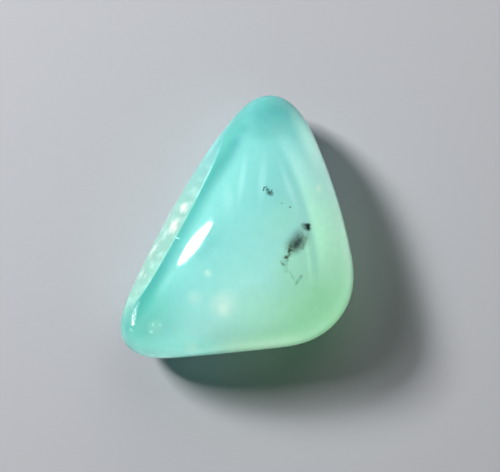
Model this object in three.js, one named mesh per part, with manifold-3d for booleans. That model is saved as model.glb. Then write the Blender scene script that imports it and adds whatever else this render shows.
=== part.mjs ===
// A polished chrysoprase freeform: one stone, ground to a rounded three-sided form, with a long
// bevel along its left edge and a flat base. Millimetres, Z up. It rests on Z = 0, its blunt tip
// points along +Y, and the middle of its box is on the Z axis.
import * as THREE from "three";
import { mergeVertices } from "three/addons/utils/BufferGeometryUtils.js";
import Module from "manifold-3d";

// The three sides, seen from above. Each faces an azimuth in degrees from +X and is bowed to a
// large radius, at a reach from the middle. Its edge rounds over the crown, this far inward and
// this far up, and a roundness of 2 is an ellipse.
const SIDES = {
  left: { azimuth: 148.7, reach: 6.72, bow: 68.5, inward: 12, rise: 6.95, roundness: 1.8 },
  right: { azimuth: 17.2, reach: 10.59, bow: 53.7, inward: 9.2, rise: 9.4, roundness: 2.1 },
  front: { azimuth: 276.1, reach: 12.8, bow: 273, inward: 9.2, rise: 9.4, roundness: 2.05 },
};

// How softly two sides run into each other at the three corners
const CORNERS = { tip: 6.7, frontLeft: 6.2, frontRight: 8.9 };
const CORNER_POWER = 2.5;

// The girdle is the widest line, and below it every side rounds under in the same way
const GIRDLE_HEIGHT = 3.8;
const UNDERSIDE = { depth: 6.6, roundness: 2.2 };

// A soft shoulder ground along the right side of the crown
const SHOULDER = { slope: 34, inward: 3.5, height: 9.05, softness: 0.5 };

// The bevel on the left is one flat face: its slope, the way it faces, and its distance from the
// origin
const BEVEL = { slope: 66, azimuth: 151.6, distance: 7.3 };

const STONE_COLOR = 0x8edccb;
const STONE_ROUGHNESS = 0.08;

// The stone's surface is looked for along rays from this point inside it
const HEART = new THREE.Vector3(0, 0, 4.4);
const RAY_REACH = new THREE.Vector3(16, 18, 9);
const ICOSAHEDRON_DETAIL = 16;
const HALVINGS = 30;

const { cos, hypot, max, sin } = Math;
const radians = THREE.MathUtils.degToRad;

// How far a point of the plan is outside a side's bowed line, negative inside it
function outside(side, x, y) {
  const facing = radians(side.azimuth);
  const bowCenter = side.reach - side.bow;
  return hypot(x - bowCenter * cos(facing), y - bowCenter * sin(facing)) - side.bow;
}

// Several distances as one, with the corners between them rounded by the softness
function joined(distances, softness, power) {
  const reach = distances.map((distance) => max(distance + softness, 0) ** power);
  return reach.reduce((sum, term) => sum + term) ** (1 / power) - softness;
}

// Each corner's own softness, which fades into the next along the side opposite
function cornerSoftness(left, right, front) {
  const tip = max(-front, 0);
  const frontLeft = max(-right, 0);
  const frontRight = max(-left, 0);
  const total =
    CORNERS.tip * tip + CORNERS.frontLeft * frontLeft + CORNERS.frontRight * frontRight;
  return total / (tip + frontLeft + frontRight);
}

// A side in the round: its plan distance, rounded over above the girdle and under below it
function roundedSide(side, distance, z) {
  const above = z > GIRDLE_HEIGHT;
  const height = above ? side.rise : UNDERSIDE.depth;
  const roundness = above ? side.roundness : UNDERSIDE.roundness;
  const across = max(distance / side.inward + 1, 0) ** roundness;
  const upward = Math.abs((z - GIRDLE_HEIGHT) / height) ** roundness;
  return side.inward * ((across + upward) ** (1 / roundness) - 1);
}

// Below zero inside the stone and above zero outside it, before its flat faces are cut
function roundForm(x, y, z) {
  const left = outside(SIDES.left, x, y);
  const right = outside(SIDES.right, x, y);
  const front = outside(SIDES.front, x, y);
  const sides = [
    roundedSide(SIDES.left, left, z),
    roundedSide(SIDES.right, right, z),
    roundedSide(SIDES.front, front, z),
  ];
  const body = joined(sides, cornerSoftness(left, right, front), CORNER_POWER);
  const slope = radians(SHOULDER.slope);
  const shoulder =
    (right + SHOULDER.inward) * sin(slope) + (z - SHOULDER.height) * cos(slope);
  return joined([body, shoulder], SHOULDER.softness, 2);
}

// Moves a vertex of a unit sphere along its ray until it lies on the stone's surface
function movedToSurface(vertex) {
  const ray = vertex.clone().normalize().multiply(RAY_REACH);
  let inner = 0;
  let outer = 1;
  for (let i = 0; i < HALVINGS; i++) {
    const share = (inner + outer) / 2;
    const point = HEART.clone().addScaledVector(ray, share);
    if (roundForm(point.x, point.y, point.z) < 0) inner = share;
    else outer = share;
  }
  return HEART.clone().addScaledVector(ray, inner);
}

function roundStoneGeometry() {
  const ball = new THREE.IcosahedronGeometry(1, ICOSAHEDRON_DETAIL);
  ball.deleteAttribute("normal");
  ball.deleteAttribute("uv");
  const geometry = mergeVertices(ball);
  const position = geometry.getAttribute("position");
  const vertex = new THREE.Vector3();
  for (let i = 0; i < position.count; i++) {
    const moved = movedToSurface(vertex.fromBufferAttribute(position, i));
    position.setXYZ(i, moved.x, moved.y, moved.z);
  }
  return geometry;
}

const wasm = await Module();
wasm.setup();

function solidFrom(geometry) {
  return new wasm.Manifold(
    new wasm.Mesh({
      numProp: 3,
      vertProperties: new Float32Array(geometry.getAttribute("position").array),
      triVerts: new Uint32Array(geometry.index.array),
    }),
  );
}

function geometryFrom(solid) {
  const mesh = solid.getMesh();
  const geometry = new THREE.BufferGeometry();
  geometry.setAttribute("position", new THREE.BufferAttribute(mesh.vertProperties, 3));
  geometry.setIndex(new THREE.BufferAttribute(mesh.triVerts, 1));
  return geometry;
}

// Takes off what lies in front of the bevel's plane
function bevelled(solid) {
  const slope = radians(BEVEL.slope);
  const facing = radians(BEVEL.azimuth);
  const outward = [sin(slope) * cos(facing), sin(slope) * sin(facing), cos(slope)];
  return solid.trimByPlane(outward.map((part) => -part), -BEVEL.distance);
}

// Takes off what lies below the surface that the stone rests on
function flatBased(solid) {
  return solid.trimByPlane([0, 0, 1], 0);
}

// Puts the middle of the box on the Z axis and leaves the base where it is
function centeredInPlan(geometry) {
  geometry.computeBoundingBox();
  const middle = geometry.boundingBox.getCenter(new THREE.Vector3());
  return geometry.translate(-middle.x, -middle.y, 0);
}

const geometry = centeredInPlan(
  geometryFrom(flatBased(bevelled(solidFrom(roundStoneGeometry())))),
);
geometry.computeVertexNormals();

const stone = new THREE.Mesh(
  geometry,
  new THREE.MeshStandardMaterial({
    color: STONE_COLOR,
    roughness: STONE_ROUGHNESS,
    metalness: 0,
  }),
);
stone.name = "chrysoprase_stone";

const part = new THREE.Group();
part.name = "polished_chrysoprase";
part.add(stone);

export default part;
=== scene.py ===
# %% [markdown]
# A polished chrysoprase, rebuilt from its own rules
#
# Chrysoprase is a chalcedony, a stone of tiny quartz fibres, coloured green by a little nickel.
# This one was ground to a rounded three-sided form and polished until it looks wet. The lesson
# loads the plain CAD solid as a fixed frame, grows a fine mesh of the same form, grinds its flat
# faces, leaves the small flaws that a polisher leaves, gives it a milky, light-carrying material,
# and sets up a small studio that looks almost straight down.

import bmesh
import bpy
import numpy as np
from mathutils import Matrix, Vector


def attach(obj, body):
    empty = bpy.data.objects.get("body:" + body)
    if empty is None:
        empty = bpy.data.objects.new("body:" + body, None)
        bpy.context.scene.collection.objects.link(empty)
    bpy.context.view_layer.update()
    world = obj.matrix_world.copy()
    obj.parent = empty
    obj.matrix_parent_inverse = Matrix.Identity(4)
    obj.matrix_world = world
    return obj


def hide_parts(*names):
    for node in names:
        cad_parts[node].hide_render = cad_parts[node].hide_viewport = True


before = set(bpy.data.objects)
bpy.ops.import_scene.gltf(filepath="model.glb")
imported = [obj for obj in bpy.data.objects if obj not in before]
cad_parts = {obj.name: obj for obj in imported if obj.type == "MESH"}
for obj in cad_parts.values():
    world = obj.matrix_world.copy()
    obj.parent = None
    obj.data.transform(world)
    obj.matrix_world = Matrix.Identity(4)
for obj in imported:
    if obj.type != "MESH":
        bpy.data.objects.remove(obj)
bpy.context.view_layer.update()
MM = 0.001

# %% [markdown]
# A small kit for wiring nodes
#
# The form and the colours are both made with nodes, and a Math node is the same in a geometry
# tree and in a shader tree. Nodes can be placed by hand, which is the way to explore. A script
# keeps them in order, so this kit adds a node, feeds its sockets with numbers or with other
# sockets, and hands back the result. Each rule below then reads like a formula.


# %% The wiring kit
class Wires:
    """Adds nodes to one tree and feeds their sockets."""

    def __init__(self, tree):
        self.tree = tree

    def feed(self, socket, value):
        """Links a socket to another one, or sets its number, vector or colour."""
        if isinstance(value, bpy.types.NodeSocket):
            self.tree.links.new(value, socket)
        else:
            socket.default_value = value

    def node(self, kind, feeds=(), **settings):
        """A new node, with its settings made before its sockets are fed by name or by number."""
        node = self.tree.nodes.new(kind)
        for name, value in settings.items():
            setattr(node, name, value)
        for key, value in dict(feeds).items():
            self.feed(node.inputs[key], value)
        return node

    def math(self, operation, *values):
        """One sum on numbers."""
        feeds = dict(enumerate(values))
        return self.node("ShaderNodeMath", feeds, operation=operation).outputs[0]

    def vector(self, operation, *values):
        """One sum on vectors, which may give a number."""
        feeds = dict(enumerate(values))
        node = self.node("ShaderNodeVectorMath", feeds, operation=operation)
        gives_number = operation in ("LENGTH", "DOT_PRODUCT", "DISTANCE")
        return node.outputs["Value" if gives_number else "Vector"]

    def scaled(self, vector, factor):
        """A vector made longer or shorter."""
        node = self.node("ShaderNodeVectorMath", {0: vector, "Scale": factor}, operation="SCALE")
        return node.outputs["Vector"]

    def total(self, *values):
        """Numbers added together."""
        result = values[0]
        for value in values[1:]:
            result = self.math("ADD", result, value)
        return result

    def times(self, *values):
        """Numbers or masks multiplied together."""
        result = values[0]
        for value in values[1:]:
            result = self.math("MULTIPLY", result, value)
        return result

    def fade(self, value, nothing, full):
        """0 where the value is at nothing, 1 where it is at full, and soft in between."""
        feeds = {"Value": value, "From Min": nothing, "From Max": full}
        node = self.node("ShaderNodeMapRange", feeds, interpolation_type="SMOOTHSTEP")
        return node.outputs["Result"]


def new_group(name, kind, inputs, outputs):
    """An empty node group with named sockets, and the wires, inputs and outputs to fill it."""
    tree = bpy.data.node_groups.new(name, kind)
    for socket_name, socket_kind in inputs:
        tree.interface.new_socket(socket_name, in_out="INPUT", socket_type=socket_kind)
    for socket_name, socket_kind in outputs:
        tree.interface.new_socket(socket_name, in_out="OUTPUT", socket_type=socket_kind)
    given = tree.nodes.new("NodeGroupInput").outputs
    result = tree.nodes.new("NodeGroupOutput").inputs
    return tree, Wires(tree), given, result


NUMBER, VECTOR, SHAPE = "NodeSocketFloat", "NodeSocketVector", "NodeSocketGeometry"
print("the kit is ready")

# %% [markdown]
# The rule of the form
#
# A form like this could be sculpted by hand, or lofted through outlines. Here it is one rule, a
# number that is below zero inside the stone and above zero outside it. Three long bowed sides run
# softly into each other at the corners, and each one rounds over the crown by its own amount, as
# a polishing wheel leaves it. A rule is exact at any fineness, and the CAD solid follows the same
# one, so the fine mesh fills the same space. Geometry Nodes are right for a form that follows a
# rule, because its sizes stay named inputs that can be turned like knobs.

# %% The driving sizes, in millimetres and degrees
SIDE_SIZES = ("azimuth", "reach", "bow", "inward", "rise", "roundness")
SIDES = {
    "left": (148.7, 6.72, 68.5, 12.0, 6.95, 1.8),
    "right": (17.2, 10.59, 53.7, 9.2, 9.4, 2.1),
    "front": (276.1, 12.8, 273.0, 9.2, 9.4, 2.05),
}
GIRDLE_HEIGHT = 3.8
FORM_SIZES = {
    "girdle height": GIRDLE_HEIGHT,
    "underside depth": 6.6,
    "underside roundness": 2.2,
    "tip softness": 6.7,
    "front left softness": 6.2,
    "front right softness": 8.9,
    "corner power": 2.5,
    "shoulder slope": 34.0,
    "shoulder inward": 3.5,
    "shoulder height": 9.05,
    "shoulder softness": 0.5,
}
GIRDLE_SIZES = ("girdle height", "underside depth", "underside roundness")
HEART = (0.0, 0.0, 4.4)
RAY_REACH = (16.0, 18.0, 9.0)
print("sizes:", len(SIDES) * len(SIDE_SIZES) + len(FORM_SIZES))

# %% One bowed side, in plan and in the round
SIDE_INPUTS = [("place", VECTOR)]
SIDE_INPUTS += [(name, NUMBER) for name in SIDE_SIZES + GIRDLE_SIZES]
bowed_side, wires, given, result = new_group(
    "bowed_side", "GeometryNodeTree", SIDE_INPUTS, [("in plan", NUMBER), ("in the round", NUMBER)]
)
turn = wires.math("RADIANS", given["azimuth"])
facing_cos = wires.math("COSINE", turn)
facing_sin = wires.math("SINE", turn)
bow_back = wires.math("SUBTRACT", given["reach"], given["bow"])
bow_center = wires.node("ShaderNodeCombineXYZ", {
    "X": wires.math("MULTIPLY", facing_cos, bow_back),
    "Y": wires.math("MULTIPLY", facing_sin, bow_back),
}).outputs[0]
flat_place = wires.vector("MULTIPLY", given["place"], (1, 1, 0))
from_bow = wires.vector("DISTANCE", flat_place, bow_center)
in_plan = wires.math("SUBTRACT", from_bow, given["bow"])
height = wires.node("ShaderNodeSeparateXYZ", {0: given["place"]}).outputs["Z"]
level = wires.math("SUBTRACT", height, given["girdle height"])
above = wires.math("GREATER_THAN", level, 0.0)


def by_half(over, under):
    """The first size above the girdle, and the second one below it."""
    return wires.math("MULTIPLY_ADD", above, wires.math("SUBTRACT", over, under), under)


roundness = by_half(given["roundness"], given["underside roundness"])
extent = by_half(given["rise"], given["underside depth"])
share_in = wires.math("DIVIDE", in_plan, given["inward"])
across = wires.math("MAXIMUM", wires.math("ADD", share_in, 1.0), 0.0)
upward = wires.math("DIVIDE", wires.math("ABSOLUTE", level), extent)
both = wires.math(
    "ADD", wires.math("POWER", across, roundness), wires.math("POWER", upward, roundness)
)
rounded = wires.math("POWER", both, wires.math("DIVIDE", 1.0, roundness))
wires.feed(result["in plan"], in_plan)
wires.feed(
    result["in the round"],
    wires.math("MULTIPLY", given["inward"], wires.math("SUBTRACT", rounded, 1.0)),
)
print("bowed_side:", len(bowed_side.nodes), "nodes")

# %% Distances run softly into each other
soft_join, wires, given, result = new_group(
    "soft_join",
    "GeometryNodeTree",
    [(name, NUMBER) for name in ("first", "second", "third", "softness", "power")],
    [("joined", NUMBER)],
)
terms = []
for name in ("first", "second", "third"):
    reach = wires.math("MAXIMUM", wires.math("ADD", given[name], given["softness"]), 0.0)
    terms.append(wires.math("POWER", reach, given["power"]))
root = wires.math("POWER", wires.total(*terms), wires.math("DIVIDE", 1.0, given["power"]))
wires.feed(result["joined"], wires.math("SUBTRACT", root, given["softness"]))
print("soft_join:", len(soft_join.nodes), "nodes")

# %% [markdown]
# Growing the form
#
# The tree takes a ball and slides each vertex along its own ray from the heart of the stone. A
# Repeat Zone halves the step every time, outward while the vertex is inside and inward while it
# is outside, so twenty-four turns bring it to within a hundred-thousandth of a millimetre of the
# surface. A ball has no seam or pole, so nothing shows in the polish.

# %% The tree that grows the stone
SIZES = {
    f"{side} {size}": value
    for side, values in SIDES.items()
    for size, value in zip(SIDE_SIZES, values)
}
SIZES.update(FORM_SIZES)
FORM_INPUTS = [("ball", SHAPE)] + [(name, NUMBER) for name in SIZES]
FORM_INPUTS += [("heart", VECTOR), ("ray reach", VECTOR), ("halvings", "NodeSocketInt")]
FORM_INPUTS += [("finish", "NodeSocketMaterial")]
stone_form, wires, given, result = new_group(
    "stone_form", "GeometryNodeTree", FORM_INPUTS, [("stone", SHAPE)]
)
place = wires.node("GeometryNodeInputPosition").outputs[0]
sides = {}
for side in SIDES:
    feeds = {size: given[f"{side} {size}"] for size in SIDE_SIZES}
    feeds.update({name: given[name] for name in GIRDLE_SIZES}, place=place)
    sides[side] = wires.node("GeometryNodeGroup", node_tree=bowed_side)
    for name, value in feeds.items():
        wires.feed(sides[side].inputs[name], value)

# Each corner's softness counts most where the side opposite is furthest away
opposite = {"tip softness": "front", "front left softness": "right", "front right softness": "left"}
shares = {}
for corner, side in opposite.items():
    inside = wires.math("MULTIPLY", sides[side].outputs["in plan"], -1.0)
    shares[corner] = wires.math("MAXIMUM", inside, 0.0)
weighed = [wires.math("MULTIPLY", share, given[corner]) for corner, share in shares.items()]
softness = wires.math("DIVIDE", wires.total(*weighed), wires.total(*shares.values()))

# A distance so far inside that it has no say where the others meet
NOT_THERE = -1000.0


def joined(softness, power, **distances):
    """Several distances as one, with a soft corner between them."""
    node = wires.node("GeometryNodeGroup", node_tree=soft_join)
    feeds = dict.fromkeys(("first", "second", "third"), NOT_THERE)
    feeds.update(softness=softness, power=power, **distances)
    for name, value in feeds.items():
        wires.feed(node.inputs[name], value)
    return node.outputs["joined"]


body = joined(
    softness,
    given["corner power"],
    first=sides["left"].outputs["in the round"],
    second=sides["right"].outputs["in the round"],
    third=sides["front"].outputs["in the round"],
)

# A soft shoulder is ground along the right side of the crown
slope = wires.math("RADIANS", given["shoulder slope"])
height = wires.node("ShaderNodeSeparateXYZ", {0: place}).outputs["Z"]
inward = wires.math("ADD", sides["right"].outputs["in plan"], given["shoulder inward"])
upward = wires.math("SUBTRACT", height, given["shoulder height"])
shoulder = wires.math(
    "ADD",
    wires.math("MULTIPLY", inward, wires.math("SINE", slope)),
    wires.math("MULTIPLY", upward, wires.math("COSINE", slope)),
)
form = joined(given["shoulder softness"], 2.0, first=body, second=shoulder)

# Each ray is kept on its vertex, and the vertex starts halfway along it
RAY = "ray from the heart"
kept = wires.node("GeometryNodeStoreNamedAttribute", {
    "Geometry": given["ball"],
    "Name": RAY,
    "Value": wires.vector("MULTIPLY", wires.vector("NORMALIZE", place), given["ray reach"]),
}, data_type="FLOAT_VECTOR", domain="POINT")
ray = wires.node("GeometryNodeInputNamedAttribute", {"Name": RAY}, data_type="FLOAT_VECTOR")
ray = ray.outputs["Attribute"]
halfway = wires.vector("ADD", given["heart"], wires.scaled(ray, 0.5))
started = wires.node("GeometryNodeSetPosition", {"Geometry": kept.outputs[0], "Position": halfway})

# The zone halves the step on every turn
zone_start = wires.node("GeometryNodeRepeatInput")
zone_end = wires.node("GeometryNodeRepeatOutput")
zone_start.pair_with_output(zone_end)
zone_end.repeat_items.new("FLOAT", "step")
wires.feed(zone_start.inputs["Iterations"], given["halvings"])
wires.feed(zone_start.inputs["Geometry"], started.outputs[0])
wires.feed(zone_start.inputs["step"], 0.25)
step = zone_start.outputs["step"]
is_inside = wires.math("LESS_THAN", form, 0.0)
outward = wires.math("MULTIPLY_ADD", is_inside, 2.0, -1.0)
moved = wires.node("GeometryNodeSetPosition", {
    "Geometry": zone_start.outputs["Geometry"],
    "Offset": wires.scaled(ray, wires.math("MULTIPLY", outward, step)),
})
wires.feed(zone_end.inputs["Geometry"], moved.outputs[0])
wires.feed(zone_end.inputs["step"], wires.math("MULTIPLY", step, 0.5))
cleaned = wires.node("GeometryNodeRemoveAttribute", {
    "Geometry": zone_end.outputs["Geometry"],
    "Name": RAY,
})
realized = wires.node("GeometryNodeRealizeInstances", {"Geometry": cleaned.outputs[0]})
finished = wires.node("GeometryNodeSetMaterial", {
    "Geometry": realized.outputs[0],
    "Material": given["finish"],
})
wires.feed(result["stone"], finished.outputs[0])
print("stone_form:", len(stone_form.nodes), "nodes and", len(SIZES), "named sizes")

# %% [markdown]
# The ball
#
# An icosphere has faces that are nearly alike. The front left corner carries a rough little
# hollow, so the ball's faces there are split twice more, and the hollow can be real relief and
# not only a pattern.

# %% Make the ball, finer where the hollow will be
FINENESS = 7
HOLLOW = Vector((-10.3, -9.4, 6.3))
FINE_REACH = 2.6
FINER_ROUNDS = 2
NARROWING = 1.4
ball = bmesh.new()
bmesh.ops.create_icosphere(ball, subdivisions=FINENESS, radius=1.0)
towards_hollow = HOLLOW - Vector(HEART)
for finer in range(FINER_ROUNDS):
    fine_reach = FINE_REACH / NARROWING**finer
    near = []
    for edge in ball.edges:
        middle = (edge.verts[0].co + edge.verts[1].co) / 2
        direction = middle.normalized()
        along = Vector(part * reach for part, reach in zip(direction, RAY_REACH))
        if along.dot(towards_hollow) > 0 and (
            along.normalized() * towards_hollow.length - towards_hollow
        ).length < fine_reach:
            near.append(edge)
    bmesh.ops.subdivide_edges(ball, edges=near, cuts=1, use_grid_fill=True)
    bmesh.ops.triangulate(ball, faces=[face for face in ball.faces if len(face.verts) > 3])
ball_mesh = bpy.data.meshes.new("ball")
ball.to_mesh(ball_mesh)
print("ball:", len(ball_mesh.polygons), "triangles")
ball.free()

# %% Run a geometry tree on a mesh
material = bpy.data.materials.new("chrysoprase")
HALVINGS = 24


def grown(name, mesh, tree, sizes):
    """The plain mesh that a tree makes of a mesh, with its named inputs set first."""
    blank = bpy.data.objects.new(name, mesh)
    bpy.context.scene.collection.objects.link(blank)
    modifier = blank.modifiers.new(name, "NODES")
    modifier.node_group = tree
    for socket in tree.interface.items_tree:
        if socket.in_out == "INPUT" and socket.name in sizes:
            modifier[socket.identifier] = sizes[socket.name]
    evaluated = blank.evaluated_get(bpy.context.evaluated_depsgraph_get())
    made = bpy.data.meshes.new_from_object(evaluated)
    made.name = name
    bpy.data.objects.remove(blank)
    return made


round_sizes = dict(SIZES, heart=HEART, halvings=HALVINGS, finish=material)
round_sizes["ray reach"] = RAY_REACH
round_mesh = grown("round_stone", ball_mesh, stone_form, round_sizes)
print("round form:", len(round_mesh.polygons), "triangles")

# %% [markdown]
# Grinding the flat faces
#
# The bevel and the base are cut as a lapidary cuts them, each against a flat plane. The mesh is
# first split along the plane, so that the crease is a clean line of edges, and what stands proud
# is then pressed back onto the plane. Corners that fall within a hundredth of a millimetre of
# each other are welded, so that few slivers are left. A boolean cut would leave one huge face.

# %% Grind the bevel and the base
BEVEL_SLOPE, BEVEL_AZIMUTH, BEVEL_DISTANCE = 66.0, 151.6, 7.3
WELD = 0.01


def facing(azimuth, slope=90.0):
    """The direction that a face points in, from its azimuth and its slope."""
    turn, tilt = np.radians(azimuth), np.radians(slope)
    return Vector((np.sin(tilt) * np.cos(turn), np.sin(tilt) * np.sin(turn), np.cos(tilt)))


def grind_flat(mesh, normal, distance):
    """Splits the mesh along a plane and presses what stands proud of it back onto the plane."""
    everything = mesh.verts[:] + mesh.edges[:] + mesh.faces[:]
    on_plane = normal * distance
    bmesh.ops.bisect_plane(mesh, geom=everything, plane_co=on_plane, plane_no=normal, dist=1e-5)
    heart = Vector(HEART)
    depth = distance - heart.dot(normal)
    for vertex in mesh.verts:
        if vertex.co.dot(normal) > distance:
            ray = vertex.co - heart
            vertex.co = heart + ray * (depth / ray.dot(normal))


bevel_normal = facing(BEVEL_AZIMUTH, BEVEL_SLOPE)
ground = bmesh.new()
ground.from_mesh(round_mesh)
grind_flat(ground, bevel_normal, BEVEL_DISTANCE)
grind_flat(ground, Vector((0, 0, -1)), 0.0)
bmesh.ops.remove_doubles(ground, verts=ground.verts[:], dist=WELD)
bmesh.ops.triangulate(ground, faces=ground.faces[:])
print("ground with the bevel and the base:", len(ground.faces), "triangles")

# %% Put the middle of the box on the Z axis
places = np.array([vertex.co[:] for vertex in ground.verts])
middle = Vector((places.min(0) + places.max(0)) / 2)
middle.z = 0
bmesh.ops.translate(ground, verts=ground.verts[:], vec=-middle)
bevel_distance = BEVEL_DISTANCE - middle.dot(bevel_normal)
ground_mesh = bpy.data.meshes.new("ground_stone")
ground.to_mesh(ground_mesh)
print("moved by", [round(part, 3) for part in middle], "mm")
ground.free()

# %% [markdown]
# What the polisher left
#
# No hand-polished stone is a perfect form. The wheel leaves slow, shallow waves, and near the
# front left corner a small hollow in the rock was too deep to grind out and keeps its sugary
# quartz grain. These could be painted as bump, but bump is lost when the mesh is used alone, so a
# second tree moves the vertices themselves.

# %% The tree that wears the surface
WEAR_INPUTS = [("stone", SHAPE), ("hollow place", VECTOR), ("hollow size", VECTOR)]
WEAR_INPUTS += [(name, NUMBER) for name in (
    "wave length", "wave height", "hollow depth", "grain size", "grain height", "scale", "seed"
)]
WEAR_INPUTS += [("finish", "NodeSocketMaterial")]
polish_wear, wires, given, result = new_group(
    "polish_wear", "GeometryNodeTree", WEAR_INPUTS, [("stone", SHAPE)]
)
place = wires.node("GeometryNodeInputPosition").outputs[0]
normal = wires.node("GeometryNodeInputNormal").outputs[0]


def ripple(size, detail):
    """Noise between -1 and 1 with features of one size."""
    node = wires.node("ShaderNodeTexNoise", {
        "Vector": place,
        "W": given["seed"],
        "Scale": wires.math("DIVIDE", 1.0, size),
        "Detail": detail,
    }, noise_dimensions="4D")
    return wires.math("MULTIPLY_ADD", node.outputs[0], 2.0, -1.0)


RIM_NOISE_SIZE, RIM_NOISE, HOLLOW_FLOOR = 0.45, 0.35, 0.45
waves = wires.math("MULTIPLY", ripple(given["wave length"], 1.0), given["wave height"])
away = wires.vector("SUBTRACT", place, given["hollow place"])
away = wires.vector("LENGTH", wires.vector("DIVIDE", away, given["hollow size"]))
uneven = wires.math("MULTIPLY_ADD", ripple(RIM_NOISE_SIZE, 2.0), RIM_NOISE, away)
in_hollow = wires.fade(uneven, 1.0, HOLLOW_FLOOR)
grain = wires.math("MULTIPLY", ripple(given["grain size"], 2.0), given["grain height"])
sunk = wires.math("SUBTRACT", grain, given["hollow depth"])
lift = wires.math("MULTIPLY_ADD", in_hollow, sunk, waves)
# The flat base stays where it is
above_base = wires.node("ShaderNodeSeparateXYZ", {0: place}).outputs["Z"]
lift = wires.math("MULTIPLY", lift, wires.fade(above_base, 0.0, 1.0))
worn = wires.node("GeometryNodeSetPosition", {
    "Geometry": given["stone"],
    "Offset": wires.scaled(normal, lift),
})
scaled = wires.node("GeometryNodeTransform", {
    "Geometry": worn.outputs[0],
    "Scale": wires.scaled((1, 1, 1), given["scale"]),
})
smooth = wires.node("GeometryNodeSetShadeSmooth", {"Geometry": scaled.outputs[0]})
realized = wires.node("GeometryNodeRealizeInstances", {"Geometry": smooth.outputs[0]})
finished = wires.node("GeometryNodeSetMaterial", {
    "Geometry": realized.outputs[0],
    "Material": given["finish"],
})
wires.feed(result["stone"], finished.outputs[0])
print("polish_wear:", len(polish_wear.nodes), "nodes")

# %% Wear the stone, and bring it to metres
WEAR = {
    "hollow place": HOLLOW,
    "hollow size": (0.55, 1.0, 0.9),
    "hollow depth": 0.05,
    "wave length": 3.5,
    "wave height": 0.006,
    "grain size": 0.22,
    "grain height": 0.09,
    "scale": MM,
    "seed": 4.0,
    "finish": material,
}
stone_mesh = grown("stone_polished", ground_mesh, polish_wear, WEAR)
stone = bpy.data.objects.new("stone_polished", stone_mesh)
bpy.context.scene.collection.objects.link(stone)
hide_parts("chrysoprase_stone")
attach(stone, "root")
print("stone:", len(stone_mesh.polygons), "triangles")

# %% [markdown]
# Colour laid on as glazes
#
# The stone is aqua at its tip and on the left, milky in the middle, and yellow-green at the lower
# right. The change of hue is its own, but some of the light and dark is painted: deeper teal as
# painted shade where thin parts let the light in, and paler colour as painted glow where light
# comes out on the far side. Colour like this could be painted on a picture, but a picture needs an
# unwrapped mesh and shows its pixels. Here each zone is a named colour with a soft mask, laid over
# the one before, as a painter glazes. The masks are spots and strokes on Object coordinates in
# millimetres, so the same pattern runs right through to the sides and the back.

# %% Colours by their look on screen
def srgb(red, green, blue):
    """A colour as it looks on screen, from 0 to 255, as the linear values that nodes take."""
    values = np.array([red, green, blue]) / 255
    linear = np.where(values <= 0.04045, values / 12.92, ((values + 0.055) / 1.055) ** 2.4)
    return (*linear, 1.0)


AQUA = srgb(113, 174, 171)
DEEP_TEAL = srgb(60, 132, 129)
PALE_AQUA = srgb(171, 223, 217)
PALE_MINT = srgb(176, 230, 199)
YELLOW_GREEN = srgb(136, 194, 150)
CREAM = srgb(228, 228, 206)
WHITE = srgb(255, 252, 244)

# %% A spot as a mask
spot_group, wires, given, result = new_group(
    "spot",
    "ShaderNodeTree",
    [("place", VECTOR), ("middle", VECTOR), ("size", VECTOR), ("turn", NUMBER), ("edge", NUMBER)],
    [("mask", NUMBER)],
)
away = wires.vector("SUBTRACT", given["place"], given["middle"])
back = wires.math("RADIANS", wires.math("MULTIPLY", given["turn"], -1.0))
turned = wires.node("ShaderNodeVectorRotate", {
    "Vector": away,
    "Angle": back,
}, rotation_type="Z_AXIS").outputs[0]
out = wires.vector("LENGTH", wires.vector("DIVIDE", turned, given["size"]))
wires.feed(result["mask"], wires.fade(out, 1.0, wires.math("SUBTRACT", 1.0, given["edge"])))
print("spot:", len(spot_group.nodes), "nodes")

# %% A stroke as a mask
stroke_group, wires, given, result = new_group(
    "stroke",
    "ShaderNodeTree",
    [("place", VECTOR), ("start", VECTOR), ("end", VECTOR), ("width", NUMBER), ("edge", NUMBER)],
    [("mask", NUMBER)],
)
from_start = wires.vector("SUBTRACT", given["place"], given["start"])
whole = wires.vector("SUBTRACT", given["end"], given["start"])
share = wires.math(
    "DIVIDE",
    wires.vector("DOT_PRODUCT", from_start, whole),
    wires.vector("DOT_PRODUCT", whole, whole),
)
share = wires.math("MINIMUM", wires.math("MAXIMUM", share, 0.0), 1.0)
off_stroke = wires.vector("DISTANCE", from_start, wires.scaled(whole, share))
half = wires.math("MULTIPLY", given["width"], 0.5)
core = wires.math("MULTIPLY", half, wires.math("SUBTRACT", 1.0, given["edge"]))
wires.feed(result["mask"], wires.fade(off_stroke, half, core))
print("stroke:", len(stroke_group.nodes), "nodes")

# %% Places on the stone that the masks use
material.use_nodes = True
wires = Wires(material.node_tree)
shader = material.node_tree.nodes["Principled BSDF"]
object_place = wires.node("ShaderNodeTexCoord").outputs["Object"]
place = wires.node("ShaderNodeMapping", {
    "Vector": object_place,
    "Scale": (1 / MM, 1 / MM, 1 / MM),
}).outputs[0]
plan = wires.vector("MULTIPLY", place, (1, 1, 0))
upper = wires.node("ShaderNodeSeparateXYZ", {0: place}).outputs["Y"]
height = wires.node("ShaderNodeSeparateXYZ", {0: place}).outputs["Z"]
# Masks by height: the crown, and all that lies above the girdle
crown = wires.fade(height, 4.2, 5.8)
above_girdle = wires.fade(height, 1.5, 3.6)
# How far out from the bevel's plane, negative inside the stone
off_bevel = wires.vector("DOT_PRODUCT", place, bevel_normal)
off_bevel = wires.math("SUBTRACT", off_bevel, bevel_distance)
print("the bevel is", round(bevel_distance, 3), "mm from the origin")


# %% Noise, spots, strokes and glazes in one line each
def noise(size, detail=2.0, where=place, seed=0.0, output="Fac"):
    """Noise from 0 to 1 with features of one size in millimetres."""
    node = wires.node("ShaderNodeTexNoise", {
        "Vector": where,
        "W": seed,
        "Scale": 1 / size,
        "Detail": detail,
    }, noise_dimensions="4D")
    return node.outputs[output]


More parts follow.
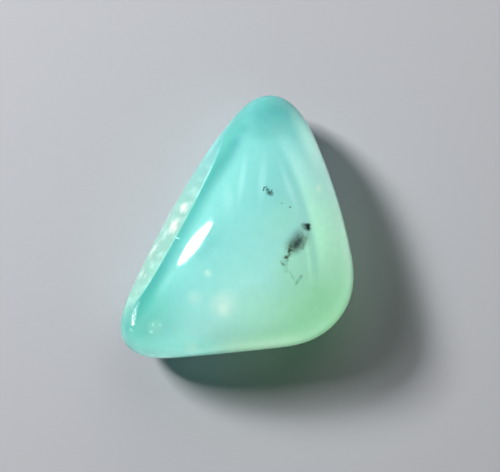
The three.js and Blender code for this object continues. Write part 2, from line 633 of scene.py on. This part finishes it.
def masked(group, **feeds):
    """The mask that one of the two groups makes."""
    node = wires.node("ShaderNodeGroup", node_tree=group)
    for name, value in feeds.items():
        wires.feed(node.inputs[name], value)
    return node.outputs["mask"]


def spot(middle, size, turn=0.0, edge=1.0, where=place):
    return masked(spot_group, place=where, middle=middle, size=size, turn=turn, edge=edge)


def plan_spot(x, y, long, short, turn=0.0, edge=1.0, where=plan):
    """A spot that reaches straight down through the crown."""
    return spot((x, y, 0.0), (long, short, 1.0), turn, edge, where)


def stroke(start, end, width, edge=1.0, where=plan):
    start, end = ((*point, 0.0)[:3] for point in (start, end))
    return masked(stroke_group, place=where, start=start, end=end, width=width, edge=edge)


# A Mix node keeps its colour sockets after those for numbers and vectors
MIX_FACTOR, MIX_UNDER, MIX_OVER, MIX_RESULT = 0, 6, 7, 2


def glaze(under, color, mask, strength=1.0):
    """One colour laid over another through a mask."""
    node = wires.node("ShaderNodeMix", {
        MIX_FACTOR: wires.math("MULTIPLY", mask, strength),
        MIX_UNDER: under,
        MIX_OVER: color,
    }, data_type="RGBA", clamp_factor=True)
    return node.outputs[MIX_RESULT]


def wandering(where, size, reach):
    """The same places pushed about by noise, so that the edge of a mask wanders."""
    push = wires.vector("SUBTRACT", noise(size, output="Color", seed=6.0), (0.5, 0.5, 0.5))
    return wires.vector("ADD", where, wires.scaled(push, 2 * reach))


# %% The slow change from aqua to yellow-green, with painted glow away from the lamps
DRIFT_AZIMUTH = -43.0
DRIFT_START, DRIFT_END = -5.0, 13.5
SOFT_AQUA, MILKY_AQUA, MILKY_GREEN = srgb(119, 181, 176), srgb(144, 195, 187), srgb(144, 195, 167)
# Its own hue runs from aqua to yellow-green, and painted glow makes the colours lighter away from
# the lamps
HUE_AND_GLOW_COLORS = {0.0: AQUA, 0.27: SOFT_AQUA, 0.55: MILKY_AQUA, 0.75: MILKY_GREEN, 1.0: YELLOW_GREEN}
along = wires.vector("DOT_PRODUCT", place, facing(DRIFT_AZIMUTH))
clouded = wires.math("MULTIPLY_ADD", wires.math("SUBTRACT", noise(4.0), 0.5), 3.0, along)
drift = wires.node("ShaderNodeMapRange", {
    "Value": clouded,
    "From Min": DRIFT_START,
    "From Max": DRIFT_END,
}).outputs[0]
ramp = wires.node("ShaderNodeValToRGB", {0: drift})
stops = ramp.color_ramp.elements
while len(stops) < len(HUE_AND_GLOW_COLORS):
    stops.new(0.5)
for stop, (position, color) in zip(stops, HUE_AND_GLOW_COLORS.items()):
    stop.position = position
    stop.color = color
base = ramp.outputs["Color"]
print("drift:", len(stops), "colours")

# %% [markdown]
# Deep and pale zones
#
# Where the stone thins to its tip and to its left corner, light goes in, loses its red, and comes
# back as a deeper teal, and that deeper teal is painted here as shade. The front edge and the right
# rim are paler where light comes out through them, and that is painted glow. In the lower right the
# stone is greener. Each zone is a wide spot with a soft edge.

# %% Painted shade: deep teal at the tip and the left corner
tip = spot((2.6, 13.2, 6.0), (6.9, 6.9, 9.0), edge=0.85)
tip = wires.math("MULTIPLY", tip, wires.math("MULTIPLY_ADD", noise(0.9, 3.0), 0.3, 0.85))
base = glaze(base, DEEP_TEAL, tip, 0.94)
corner = spot((-9.6, -9.0, 5.5), (7.6, 5.8, 7.0), turn=35.0, edge=0.85)
CORNER_SHADE_TEAL = srgb(84, 154, 141)
base = glaze(base, CORNER_SHADE_TEAL, corner)
print("tip and corner:", len(material.node_tree.nodes), "nodes so far")

# %% Smaller zones from the girdle up
BLUE_TEAL, SOFT_TEAL, RIM_TEAL = srgb(70, 132, 140), srgb(74, 138, 144), srgb(84, 146, 138)
SEA_GREEN, LEAF_GREEN, SHALLOW = srgb(140, 196, 170), srgb(148, 200, 168), srgb(156, 206, 190)
FRONT_GLOW_MINT, FRONT_GLOW_AQUA = srgb(178, 226, 190), srgb(136, 210, 196)
RIM_GLOW_AQUA, RIM_GLOW_GREEN, RIM_MILK = srgb(188, 240, 222), srgb(190, 238, 206), srgb(172, 196, 178)
# Place, half length and half width, turn, colour, strength
ZONES = [
    ((1.8, 11.3), (1.2, 0.7), 0.0, BLUE_TEAL, 0.35),
    ((3.4, 11.2), (1.1, 0.7), 0.0, BLUE_TEAL, 0.35),
    ((0.6, 9.6), (0.9, 1.1), 60.0, DEEP_TEAL, 0.4),
    ((-0.4, 8.1), (1.2, 0.9), 60.0, SOFT_TEAL, 0.5),
    # Painted shade beside the highlight, and below it a painted pale tail that runs on from the
    # highlight
    ((-2.8, -2.4), (3.2, 1.1), 52.0, DEEP_TEAL, 0.25),
    ((-7.1, -5.9), (2.4, 0.7), 52.0, PALE_AQUA, 0.12),
    ((4.6, 0.2), (3.2, 2.2), 60.0, SEA_GREEN, 0.35),
    ((-0.9, 6.8), (4.2, 1.5), 62.0, DEEP_TEAL, 0.52),
    ((5.2, -3.6), (3.4, 2.2), 60.0, LEAF_GREEN, 0.4),
    ((8.3, -7.1), (1.6, 1.1), -25.0, YELLOW_GREEN, 0.6),
    ((2.0, -9.5), (4.5, 2.6), 5.0, SHALLOW, 0.4),
    # The next four rows are painted glow, lighter where light comes out through the front edge and
    # the right rim
    ((3.0, -13.0), (8.0, 2.6), 5.0, FRONT_GLOW_MINT, 0.65),
    ((-5.4, -12.8), (6.6, 2.6), 0.0, FRONT_GLOW_AQUA, 0.8),
    ((7.9, 7.0), (6.0, 1.5), -64.0, RIM_GLOW_AQUA, 0.75),
    ((10.7, 1.2), (6.5, 1.0), -76.0, RIM_GLOW_GREEN, 0.5),
    ((-11.5, -9.6), (1.8, 0.8), 65.0, RIM_TEAL, 0.6),
    ((-10.5, -8.3), (2.2, 0.9), 70.0, RIM_MILK, 0.85),
    ((3.2, 8.9), (3.2, 1.2), 0.0, DEEP_TEAL, 0.22),
]
for (x, y), (long, short), turn, color, strength in ZONES:
    mask = wires.times(plan_spot(x, y, long, short, turn), above_girdle)
    base = glaze(base, color, mask, strength)
print("zones:", len(ZONES))

# %% [markdown]
# The bevel
#
# A bevel is ground on one flat lap and is never quite as fine as the crown. It looks milky, with
# small bright patches on it that are painted highlights, and a pale line along its crease that is a
# painted glint. Just inside its crease the crown shows a band of deeper teal, which is painted
# shade.

# %% Painted shade: the dark band inside the crease
CREASE_SHADE_START, CREASE_SHADE_END = -0.16, -1.3
BAND_TEAL = srgb(46, 128, 121)
crease_shade = wires.times(wires.fade(off_bevel, CREASE_SHADE_END, CREASE_SHADE_START), crown)
base = glaze(base, BAND_TEAL, crease_shade, 0.82)
print("band:", round(CREASE_SHADE_START - CREASE_SHADE_END, 2), "mm wide")

# %% The milky face of the bevel
on_bevel = wires.times(
    wires.fade(off_bevel, -0.14, -0.06),
    wires.fade(upper, 9.4, 6.0),
    wires.fade(upper, -9.4, -6.4),
)
down_bevel = wires.vector("DOT_PRODUCT", place, facing(BEVEL_AZIMUTH + 90))
down_bevel = wires.fade(down_bevel, -6.0, 3.0)
BEVEL_BLUE, BEVEL_GREEN = srgb(94, 153, 151), srgb(112, 158, 145)
bevel_color = glaze(BEVEL_BLUE, BEVEL_GREEN, down_bevel)
frosted = wires.fade(noise(1.2, 3.0, where=plan), 0.45, 0.75)
bevel_color = glaze(bevel_color, PALE_AQUA, frosted, 0.2)
print("milky bevel:", len(material.node_tree.nodes), "nodes so far")

# %% Painted highlights on it
ALONG_BEVEL = BEVEL_AZIMUTH - 90
GLINT, PINK_GLINT, PALE_GLINT = srgb(194, 196, 190), srgb(205, 178, 162), srgb(150, 184, 176)
# Place, half length along the bevel and half width, colour, strength
BEVEL_GLINTS = [
    ((-5.36, 1.67), (0.85, 0.7), GLINT, 0.9),
    ((-5.28, 1.72), (0.3, 0.25), PINK_GLINT, 0.8),
    ((-6.35, -0.1), (1.3, 0.7), GLINT, 0.9),
    ((-6.3, -0.1), (0.5, 0.25), PINK_GLINT, 0.6),
    ((-7.3, -0.85), (0.9, 0.4), PALE_GLINT, 0.8),
    ((-8.45, -2.3), (1.6, 0.28), GLINT, 0.55),
    ((-7.8, -3.1), (0.5, 0.35), PALE_GLINT, 0.5),
    ((-8.5, -4.0), (0.6, 0.4), PALE_GLINT, 0.4),
    ((-9.7, -5.0), (1.0, 0.3), GLINT, 0.5),
    ((-9.2, -5.2), (0.4, 0.25), GLINT, 0.35),
    ((-4.3, 3.4), (0.9, 0.6), PALE_GLINT, 0.3),
    ((-4.8, 1.75), (0.9, 0.35), PALE_GLINT, 0.5),
]
ragged = wandering(plan, 0.8, 0.45)
for (x, y), (long, short), color, strength in BEVEL_GLINTS:
    mask = plan_spot(x, y, long, short, ALONG_BEVEL, where=ragged)
    bevel_color = glaze(bevel_color, color, mask, strength)
print("patches:", len(BEVEL_GLINTS))

# %% A painted glint along the crease
CREASE = [
    (-0.8, 8.2, 6.5),
    (-2.8, 5.0, 6.9),
    (-4.55, 0.9, 7.46),
    (-5.93, -1.48, 7.41),
    (-7.52, -4.25, 7.25),
    (-8.52, -5.83, 7.0),
    (-9.6, -7.6, 6.7),
]
CREASE_WIDTH = 0.7
for start, end in zip(CREASE, CREASE[1:]):
    mask = stroke(start, end, CREASE_WIDTH, where=place)
    bevel_color = glaze(bevel_color, PALE_AQUA, mask, 0.2)
base = glaze(base, bevel_color, on_bevel)
print("crease:", len(CREASE) - 1, "strokes")

# %% [markdown]
# The flank and its painted reflected line
#
# On the right the edge of the stone, mirrored inside it, shows as a fine double line that bends
# with that edge, and this is painted reflection. Beyond the line the flank is paler where light
# comes out through it, and that is painted glow. Seen from above the line is very nearly an arc of
# one large circle, so its masks come from the distance to that circle.

# %% The pale right flank, painted glow
LINE_CENTER = (-24.15, -7.55, 0.0)
LINE_RADIUS = 32.0
off_line = wires.vector("DISTANCE", plan, LINE_CENTER)
off_line = wires.math("SUBTRACT", off_line, LINE_RADIUS)
flank_glow = wires.times(
    wires.fade(off_line, -0.3, 0.8),
    wires.fade(upper, -8.5, -0.5),
    wires.fade(upper, 10.0, 3.5),
)
FLANK_GLOW_AQUA = srgb(170, 219, 209)
flank_glow_color = glaze(PALE_MINT, FLANK_GLOW_AQUA, wires.fade(upper, -1.0, 6.0))
base = glaze(base, flank_glow_color, flank_glow, 0.8)
print("flank: beyond a circle of", LINE_RADIUS, "mm")


# %% The painted reflected line
def beside_line(distance, half_width):
    """A line beside the painted reflected line, at its own distance from it."""
    off = wires.math("ABSOLUTE", wires.math("SUBTRACT", off_line, distance))
    return wires.fade(off, half_width, 0.0)


REFLECTED_LINE_TEAL = srgb(110, 182, 170)
line = wires.times(wires.fade(upper, -6.5, -4.5), wires.fade(upper, 10.5, 7.0), crown)
lower_line = wires.times(line, wires.fade(upper, 1.0, -2.0))
# Painted reflection: a dark line on the circle and a pale one just inside it
base = glaze(base, REFLECTED_LINE_TEAL, wires.times(beside_line(0.05, 0.35), line), 0.2)
base = glaze(base, PALE_MINT, wires.times(beside_line(-0.6, 0.35), lower_line), 0.3)
print("reflected line: two fine lines")

# %% [markdown]
# Streaks, clouds and moss
#
# Pale streaks fan out from the tip, small cream clouds of more opaque chalcedony float in the
# front half, and dendrites of manganese oxide have crept along hair cracks like moss. Some of the
# moss lies at the surface and is crisp, and some lies deeper and is blurred by the milky stone
# above it. The streaks, clouds and moss are inside the stone, so they are colour only, and none of
# them is raised. A few pale flecks near the front left corner are painted glints.

# %% Pale streaks
STREAK_AQUA = srgb(162, 208, 203)
# Place, half length and half width, turn, strength
STREAKS = [
    ((-0.86, 2.2), (2.6, 0.95), 93.0, 0.2),
    ((0.5, 4.1), (3.7, 0.5), 82.0, 0.32),
    ((2.5, 4.1), (3.5, 0.6), 86.0, 0.32),
    ((5.1, 3.4), (3.6, 0.5), 110.0, 0.36),
]
for (x, y), (long, short), turn, strength in STREAKS:
    mask = wires.times(plan_spot(x, y, long, short, turn, edge=0.9), crown)
    base = glaze(base, STREAK_AQUA, mask, strength)
print("streaks:", len(STREAKS))

# %% Cream clouds, and a few flecks that are painted glints
# Place, radius, colour, strength
CLOUDS = [
    ((-1.2, -8.1), 2.0, CREAM, 0.25),
    ((-1.3, -8.6), 0.9, CREAM, 0.2),
    ((-2.8, -5.1), 0.6, CREAM, 0.25),
    ((-4.1, -7.4), 1.1, CREAM, 0.12),
    ((-8.0, -10.3), 1.2, CREAM, 0.08),
    ((-4.4, -12.4), 1.2, CREAM, 0.12),
    ((8.1, 3.4), 0.6, CREAM, 0.25),
    # Painted glints: three pale flecks near the front left corner
    ((-8.45, -10.75), 0.28, PALE_AQUA, 0.4),
    ((-8.25, -10.0), 0.25, PALE_AQUA, 0.35),
    ((-7.5, -10.1), 0.18, PALE_AQUA, 0.4),
]
drifting = wandering(plan, 1.0, 0.2)
for (x, y), radius, color, strength in CLOUDS:
    mask = wires.times(plan_spot(x, y, radius, radius, where=drifting), crown)
    base = glaze(base, color, mask, strength)
print("clouds:", len(CLOUDS))

# %% Moss
MOSS_BLACK, MOSS_GREY, MOSS_BROWN = srgb(16, 22, 20), srgb(58, 76, 68), srgb(72, 92, 58)
# Start, end, width, colour, strength, how far noise breaks it up
MOSS = [
    ((5.55, -2.35), (6.15, -1.6), 2.6, MOSS_GREY, 0.7, 0.15),
    ((5.7, -2.35), (6.05, -2.0), 1.8, MOSS_BLACK, 0.7, 0.25),
    ((5.75, -2.4), (5.95, -2.2), 0.8, MOSS_BLACK, 0.5, 0.1),
    ((6.5, -0.4), (6.7, -0.6), 0.85, MOSS_GREY, 0.8, 0.3),
    ((6.95, -0.42), (7.0, -0.68), 0.78, MOSS_BLACK, 1.0, 0.0),
    ((6.7, -0.3), (7.1, -0.3), 0.45, MOSS_BLACK, 0.85, 0.2),
    ((7.0, -1.1), (6.4, -2.6), 0.55, MOSS_BROWN, 0.5, 0.8),
    ((5.3, -2.5), (4.6, -3.9), 1.1, MOSS_BROWN, 0.8, 0.9),
    ((5.2, -2.8), (4.9, -3.4), 0.6, MOSS_BLACK, 0.6, 0.8),
    ((4.75, -3.4), (4.55, -4.1), 0.7, MOSS_BLACK, 0.6, 0.8),
    ((4.7, -4.2), (4.8, -4.8), 0.9, MOSS_BROWN, 0.25, 0.4),
    ((5.2, -5.0), (5.55, -5.6), 0.4, MOSS_BROWN, 0.35, 0.6),
    ((6.3, -5.3), (5.75, -6.1), 0.5, MOSS_BROWN, 0.5, 0.6),
    ((2.6, 3.05), (2.68, 3.35), 0.22, MOSS_BLACK, 0.85, 0.0),
    ((2.68, 3.35), (2.95, 3.42), 0.2, MOSS_BLACK, 0.7, 0.0),
    ((3.0, 3.1), (3.15, 2.85), 0.6, MOSS_BLACK, 0.95, 0.4),
    ((3.1, 2.75), (3.4, 2.7), 0.65, MOSS_BLACK, 0.9, 0.45),
    ((3.4, 2.85), (3.42, 3.05), 0.26, MOSS_BLACK, 0.7, 0.0),
    ((4.38, 1.76), (4.4, 1.76), 0.26, MOSS_BROWN, 0.6, 0.0),
    ((5.2, 1.41), (5.22, 1.38), 0.3, MOSS_BLACK, 0.7, 0.0),
]
holes = wires.fade(noise(0.3, 4.0, where=plan, seed=2.0), 0.42, 0.58)
for start, end, width, color, strength, broken in MOSS:
    kept = wires.math("MULTIPLY_ADD", holes, broken, 1.0 - broken)
    mask = wires.times(stroke(start, end, width, edge=0.95), kept, crown)
    base = glaze(base, color, mask, strength)
print("moss strokes:", len(MOSS))

# %% [markdown]
# Sparks
#
# The hollow at the front left corner keeps its sugary quartz, and its grains catch the light as
# white sparks. A nick beside the crease does the same. The grain is real relief in the mesh, and
# the white is laid over it in broken strokes.

# %% Sugary quartz and the nick
# Start, end, width, colour, strength, how far noise breaks it up
SPARKS = [
    ((-10.15, -8.7, 6.35), (-10.35, -9.8, 6.3), 1.1, PALE_AQUA, 0.55, 0.7),
    ((-10.2, -8.9, 6.35), (-10.35, -9.7, 6.3), 0.85, WHITE, 0.5, 0.95),
    ((-10.34, -9.95, 6.3), (-10.36, -10.0, 6.28), 0.4, WHITE, 0.8, 0.0),
    ((-10.6, -10.5, 6.0), (-10.3, -10.7, 6.1), 0.4, PALE_AQUA, 0.4, 0.3),
    ((-9.75, -7.9, 6.6), (-10.1, -8.6, 6.45), 0.5, PALE_AQUA, 0.3, 0.6),
    ((-6.0, -1.45, 7.41), (-4.95, -1.85, 7.9), 0.22, PALE_AQUA, 0.8, 0.0),
]
grains = wires.fade(noise(0.16, 3.0, seed=5.0), 0.48, 0.62)
for start, end, width, color, strength, broken in SPARKS:
    kept = wires.math("MULTIPLY_ADD", grains, broken, 1.0 - broken)
    mask = wires.times(stroke(start, end, width, edge=0.9, where=place), kept)
    base = glaze(base, color, mask, strength)
print("sparks:", len(SPARKS))

# %% [markdown]
# The polish and the milk
#
# Polished chalcedony is as smooth as glass, with an index near 1.54. Real glass nodes would show
# the floor through the stone, but this stone is milky: light wanders inside it and comes out
# somewhere else. Subsurface scattering does exactly that, and its long reach makes the thin edges
# glow. The bevel is less finely polished, and the sugary hollow is rough.

# %% Roughness and the finest relief
BUMP_DEPTH = 0.004
hollow_mask = spot(tuple(HOLLOW), (1.0, 1.4, 1.2))
smears = wires.math("MULTIPLY", noise(1.6, 3.0, seed=9.0), 0.05)
roughness = wires.math("ADD", smears, 0.03)
roughness = wires.math("MULTIPLY_ADD", on_bevel, wires.math("MULTIPLY", frosted, 0.2), roughness)
roughness = wires.math("MULTIPLY_ADD", hollow_mask, 0.25, roughness)
lap_marks = wires.math("MULTIPLY", noise(0.35, 3.0, seed=3.0), on_bevel)
relief = wires.math("MULTIPLY_ADD", lap_marks, 2.0, noise(0.9, 2.0, seed=7.0))
bump = wires.node("ShaderNodeBump", {"Height": relief, "Distance": BUMP_DEPTH * MM})
wires.feed(shader.inputs["Roughness"], roughness)
wires.feed(shader.inputs["Normal"], bump.outputs[0])
print("bump: up to", BUMP_DEPTH, "mm")

# %% Finish of the shader
CHALCEDONY_IOR = 1.54
LIGHT_REACH = 16.0
mottle = wires.fade(noise(0.7, 4.0, seed=8.0), 0.3, 0.7)
wires.feed(shader.inputs["Base Color"], glaze(base, BAND_TEAL, mottle, 0.05))
shader.inputs["IOR"].default_value = CHALCEDONY_IOR
shader.inputs["Subsurface Weight"].default_value = 1.0
shader.inputs["Subsurface Radius"].default_value = (1.0, 1.0, 1.0)
shader.inputs["Subsurface Scale"].default_value = LIGHT_REACH * MM
print("material:", len(material.node_tree.nodes), "nodes")

# %% [markdown]
# The studio
#
# The floor is plain and pale. One lamp could light the stone, but a lamp broad enough for the
# soft shadow would make too broad a highlight. Four lights share the work instead. A narrow tall
# pane is the only one that the polish mirrors, so it makes the highlight. A broader sky stands
# close to it and throws the soft shadow. A wide room light from behind lifts that shadow. The
# real stone also glows on its far side, because light goes through it and comes out again, and a
# low fill that falls on the stone alone helps that glow.

# %% Floor
FLOOR_SIZE = 1.2
bpy.ops.mesh.primitive_plane_add(size=FLOOR_SIZE)
floor = bpy.context.object
floor.name = "studio_floor"
floor_material = bpy.data.materials.new("pale_floor")
floor_material.use_nodes = True
floor_shader = floor_material.node_tree.nodes["Principled BSDF"]
floor_shader.inputs["Base Color"].default_value = srgb(205, 207, 212)
floor_shader.inputs["Roughness"].default_value = 0.9
floor_shader.inputs["Specular IOR Level"].default_value = 0.1
floor.data.materials.append(floor_material)
print("floor:", FLOOR_SIZE, "m across")

# %% Lights
LIGHT_DISTANCE = 0.45


def soft_light(name, azimuth, elevation, width, height, watts, shape="RECTANGLE", roll=0.0):
    """A light that faces the stone and spans so many degrees, seen from there."""
    data = bpy.data.lights.new(name, "AREA")
    data.shape = shape
    data.size = 2 * LIGHT_DISTANCE * np.tan(np.radians(width / 2))
    data.size_y = 2 * LIGHT_DISTANCE * np.tan(np.radians(height / 2))
    data.energy = watts
    light = bpy.data.objects.new(name, data)
    towards = facing(azimuth, 90 - elevation)
    light.location = towards * LIGHT_DISTANCE
    light.rotation_euler = towards.to_track_quat("Z", "Y").to_euler()
    light.rotation_euler.rotate_axis("Z", np.radians(roll))
    bpy.context.scene.collection.objects.link(light)
    print(name, "spans", width, "by", height, "degrees at", watts, "W")
    return light


# %% The pane, the sky, the room and the fill
# Name, azimuth and elevation, width and height in degrees, watts
soft_light("pane", 150.2, 40.0, 4.3, 15.5, 0.44, shape="ELLIPSE", roll=18.4)
sky = soft_light("sky", 144.0, 31.5, 14.0, 10.0, 2.0)
sky.visible_glossy = False
room = soft_light("room", 75.0, 35.0, 50.0, 40.0, 0.5)
room.visible_glossy = False
fill = soft_light("fill", -52.0, 15.0, 67.4, 31.0, 2.95)
fill.visible_glossy = False
lit_by_fill = bpy.data.collections.new("lit_by_fill")
lit_by_fill.objects.link(stone)
fill.light_linking.receiver_collection = lit_by_fill
world = bpy.data.worlds.new("studio")
world.use_nodes = True
background = world.node_tree.nodes["Background"]
background.inputs["Color"].default_value = (1, 1, 1, 1)
background.inputs["Strength"].default_value = 0.02
bpy.context.scene.world = world
bpy.context.scene.view_settings.view_transform = "Standard"

# %% [markdown]
# The camera
#
# The stone is seen from nearly straight above, with the camera standing a few degrees to the
# front. A long lens keeps the far edge from shrinking. The distance comes from the size of one
# pixel at the girdle, and the camera is aimed a little beside the stone, rather than shifted.

# %% Camera
PIXEL = 0.10213 * MM
PHOTO_WIDTH, PHOTO_HEIGHT = 500, 472
STONE_PIXEL = (237.3, 225.9)
CAMERA_TILT = 4.0
LENS = 85.0
SENSOR = 36.0
camera_distance = PHOTO_WIDTH * PIXEL * LENS / SENSOR
aim = Vector((
    (PHOTO_WIDTH / 2 - STONE_PIXEL[0]) * PIXEL,
    (STONE_PIXEL[1] - PHOTO_HEIGHT / 2) * PIXEL,
    GIRDLE_HEIGHT * MM,
))
towards_camera = facing(270.0, CAMERA_TILT)
camera_data = bpy.data.cameras.new("camera")
camera_data.lens = LENS
camera_data.sensor_width = SENSOR
camera_data.clip_start = 1 * MM
camera = bpy.data.objects.new("camera", camera_data)
camera.location = aim + towards_camera * camera_distance
camera.rotation_euler = towards_camera.to_track_quat("Z", "Y").to_euler()
bpy.context.scene.collection.objects.link(camera)
bpy.context.scene.camera = camera
print("camera:", round(camera_distance / MM), "mm from the stone")
